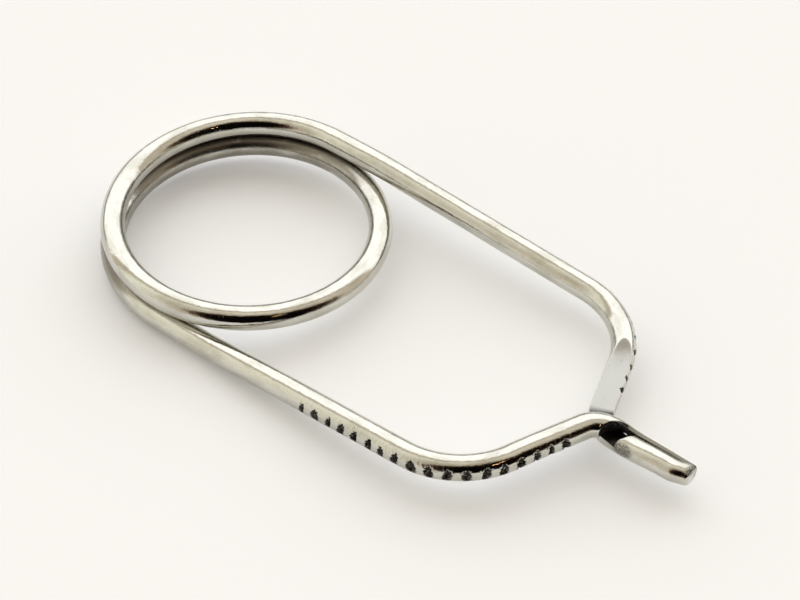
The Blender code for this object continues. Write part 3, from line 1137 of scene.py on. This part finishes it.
@dataclass(frozen=True)
class Studio:
    """Pale floor, soft surrounding light and the camera."""

    floor_size: float = 6.0
    floor_colour: Colour = (0.93, 0.935, 0.955, 1.0)
    floor_glow: float = 0.12
    backdrop: Colour = (0.94, 0.94, 0.935, 1.0)
    sky_white: Colour = (1.70, 1.70, 1.68, 1.0)
    sky_far: Colour = (0.42, 0.42, 0.42, 1.0)
    sky_cream: Colour = (1.22, 1.22, 1.06, 1.0)
    sky_tan: Colour = (0.72, 0.64, 0.52, 1.0)
    dark: Colour = (0.003, 0.0025, 0.002, 1.0)
    rim: Colour = (0.10, 0.065, 0.04, 1.0)
    rim_mottle: Colour = (0.32, 0.12, 0.06, 1.0)
    mottled: float = 0.5                # strength of that mottle
    # Each pair is where a tone starts and where it is full. The first four are sines of
    # angles; the last three are in sizes of the dark patch.
    tan_from: tuple[float, float] = (0.0, 0.1)
    white_from: tuple[float, float] = (0.22, 0.34)
    far_across: tuple[float, float] = (0.2, 0.5)
    far_below: tuple[float, float] = (0.28, 0.16)
    halo_within: tuple[float, float] = (1.75, 1.12)
    rim_within: tuple[float, float] = (1.10, 0.97)
    dark_within: tuple[float, float] = (0.98, 0.80)
    waviness: float = 0.16              # of the dark patch's outline
    dark_azimuth: float = 43.8          # seen from the object, from -Y towards +X
    dark_elevation: float = 28.0
    dark_half_width: float = 40.0       # towards -X
    dark_right_width: float = 58.0      # towards +X
    dark_half_height: float = 36.0
    lamp: tuple[float, float, float] = (0.669, -0.27, 0.69)
    lamp_radius: float = 0.8
    lamp_colour: Colour = (60.0, 36.0, 15.0, 1.0)
    tan_across: tuple[float, float, float] = (-0.579, 0.816, 0.0)
    camera_offset: tuple[float, float, float] = (0.077065, -0.08354, 0.107505)
    camera_azimuth: float = 36.365      # 0 looks along +Y, 90 along -X
    camera_elevation: float = 45.709
    camera_roll: float = 1.582
    lens: float = 85.885

    def build(self) -> None:
        """Make floor, light and camera, and mark the floor as stage."""
        self._floor()
        self._light()
        self._camera()

    def _floor(self) -> None:
        """A flat pale floor under the lowest wire."""
        low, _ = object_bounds()
        half = self.floor_size / 2
        corners = [(-half, -half, low.z), (half, -half, low.z),
                   (half, half, low.z), (-half, half, low.z)]
        data = bpy.data.meshes.new("floor")
        data.from_pydata(corners, [], [(0, 1, 2, 3)])
        material = bpy.data.materials.new("floor")
        material.use_nodes = True
        shader = material.node_tree.nodes["Principled BSDF"]
        shader.inputs["Base Color"].default_value = self.floor_colour
        shader.inputs["Emission Color"].default_value = self.floor_colour
        shader.inputs["Emission Strength"].default_value = self.floor_glow
        shader.inputs["Roughness"].default_value = 1.0
        shader.inputs["Specular IOR Level"].default_value = 0.0
        data.materials.append(material)
        floor = bpy.data.objects.new("floor", data)
        bpy.context.scene.collection.objects.link(floor)
        floor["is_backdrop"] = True

    def _light(self) -> None:
        """Surrounding light: cream, a tan stripe, white beyond it, a grey far horizon
        and one dark patch with a small lamp.

        The sky is a mix by direction. The dark patch is an ellipse about a direction:
        its radius is the length of the two sideways parts of the direction, each over
        the sine of the patch's half size.
        """
        world = bpy.data.worlds.new("studio")
        bpy.context.scene.world = world
        world.use_nodes = True
        graph = Graph(world.node_tree)
        toward = graph.value(graph.node("ShaderNodeTexCoord"), "Generated")
        azimuth = math.radians(self.dark_azimuth)
        lift = math.radians(self.dark_elevation)
        east = (math.cos(azimuth), math.sin(azimuth), 0.0)
        flat = (math.sin(azimuth), -math.cos(azimuth), 0.0)
        ahead = (flat[0] * math.cos(lift), flat[1] * math.cos(lift), math.sin(lift))
        above = (-flat[0] * math.sin(lift), -flat[1] * math.sin(lift), math.cos(lift))
        aside = graph.dot(toward, east)
        left = math.sin(math.radians(self.dark_half_width))
        right = math.sin(math.radians(self.dark_right_width))
        wide = aside.least(0.0) / left + aside.most(0.0) / right
        tall = graph.dot(toward, above) / math.sin(math.radians(self.dark_half_height))
        size = (wide * wide + tall * tall) ** 0.5
        wavy = graph.noise(toward, 3.0, 2.0)
        size = size + self.waviness * (wavy - 0.5)
        front = graph.dot(toward, ahead).above(0.05, 0.15)
        over = graph.dot(toward, self.tan_across)
        lift_z = graph.dot(toward, (0.0, 0.0, 1.0))

        sky = graph.mix(over.above(*self.tan_from), self.sky_cream, self.sky_tan)
        sky = graph.mix(over.above(*self.white_from), sky, self.sky_white)
        horizon = over.above(*self.far_across) * lift_z.above(*self.far_below)
        sky = graph.mix(horizon, sky, self.sky_far)
        sky = graph.mix(front * size.above(*self.halo_within), sky, self.sky_tan)
        mottle = graph.noise(toward, 14.0, 2.0).above(0.56, 0.66)
        rim = graph.mix(mottle * self.mottled, self.rim, self.rim_mottle)
        sky = graph.mix(front * size.above(*self.rim_within), sky, rim)
        sky = graph.mix(front * size.above(*self.dark_within), sky, self.dark)
        lamp = Vector(self.lamp).normalized()
        edge = math.cos(math.radians(self.lamp_radius))
        inner = math.cos(math.radians(self.lamp_radius * 0.6))
        lit = graph.dot(toward, tuple(lamp)).above(edge, inner)
        sky = graph.mix(lit, sky, self.lamp_colour)
        seen = graph.value(graph.node("ShaderNodeLightPath"), "Is Camera Ray")
        sky = graph.mix(seen, sky, self.backdrop)
        glow = graph.node("ShaderNodeBackground", {}, {"Color": sky, "Strength": 1.0})
        graph.node("ShaderNodeOutputWorld", {}, {"Surface": graph.value(glow)})
        bpy.context.scene.view_settings.view_transform = "Standard"

    def _camera(self) -> None:
        """The camera, placed by direction and roll."""
        data = bpy.data.cameras.new("camera")
        data.lens = self.lens
        data.clip_start = 0.01
        camera = bpy.data.objects.new("camera", data)
        bpy.context.scene.collection.objects.link(camera)
        azimuth = math.radians(self.camera_azimuth)
        lift = math.radians(self.camera_elevation)
        ahead = Vector((-math.sin(azimuth) * math.cos(lift),
                        math.cos(azimuth) * math.cos(lift), -math.sin(lift)))
        roll = Quaternion((0.0, 0.0, 1.0), math.radians(self.camera_roll))
        camera.rotation_mode = "QUATERNION"
        camera.rotation_quaternion = ahead.to_track_quat("-Z", "Y") @ roll
        axis = Vector(frame["joints"][0]["pos_m"])
        camera.location = axis + Vector(self.camera_offset)
        bpy.context.scene.camera = camera


class Pliers:
    """The whole object: the coil's turn and a wire on each side of it."""

    def __init__(self, finish: bpy.types.Material) -> None:
        """Keep the finish that every piece of the one wire shares."""
        self.finish = finish
        self.axis = Vector(frame["joints"][0]["pos_m"])

    def build(self) -> list[bpy.types.Object]:
        """Make the three pieces.

        Returns:
            The pieces.
        """
        pieces = [self.coil(), self.side(RIGHT), self.side(LEFT)]
        for piece in pieces:
            log.info("%s: %d faces", piece.name, len(piece.data.polygons))
        return pieces

    def coil(self) -> bpy.types.Object:
        """The still part of the coil."""
        piece = Coil().surface().build("coil_wire", self.finish)
        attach(piece, "coil")
        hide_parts("coil_ring")
        return piece

    def side(self, shape: WireSide) -> bpy.types.Object:
        """A leg with its jaw, and the quarter turn of coil next to it, which on the real
        pliers bends with the leg.

        Args:
            shape: The side to make.

        Returns:
            The piece.
        """
        name = shape.side.name.lower()
        piece = shape.surface().build(name + "_wire", self.finish)
        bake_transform(piece)
        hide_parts(name + "_leg", name + "_jaw")
        return piece


def main() -> None:
    logging.basicConfig(level=logging.INFO, format="%(message)s")
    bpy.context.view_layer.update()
    Pliers(NickelFinish().build()).build()
    Studio().build()


if __name__ == "__main__":
    main()
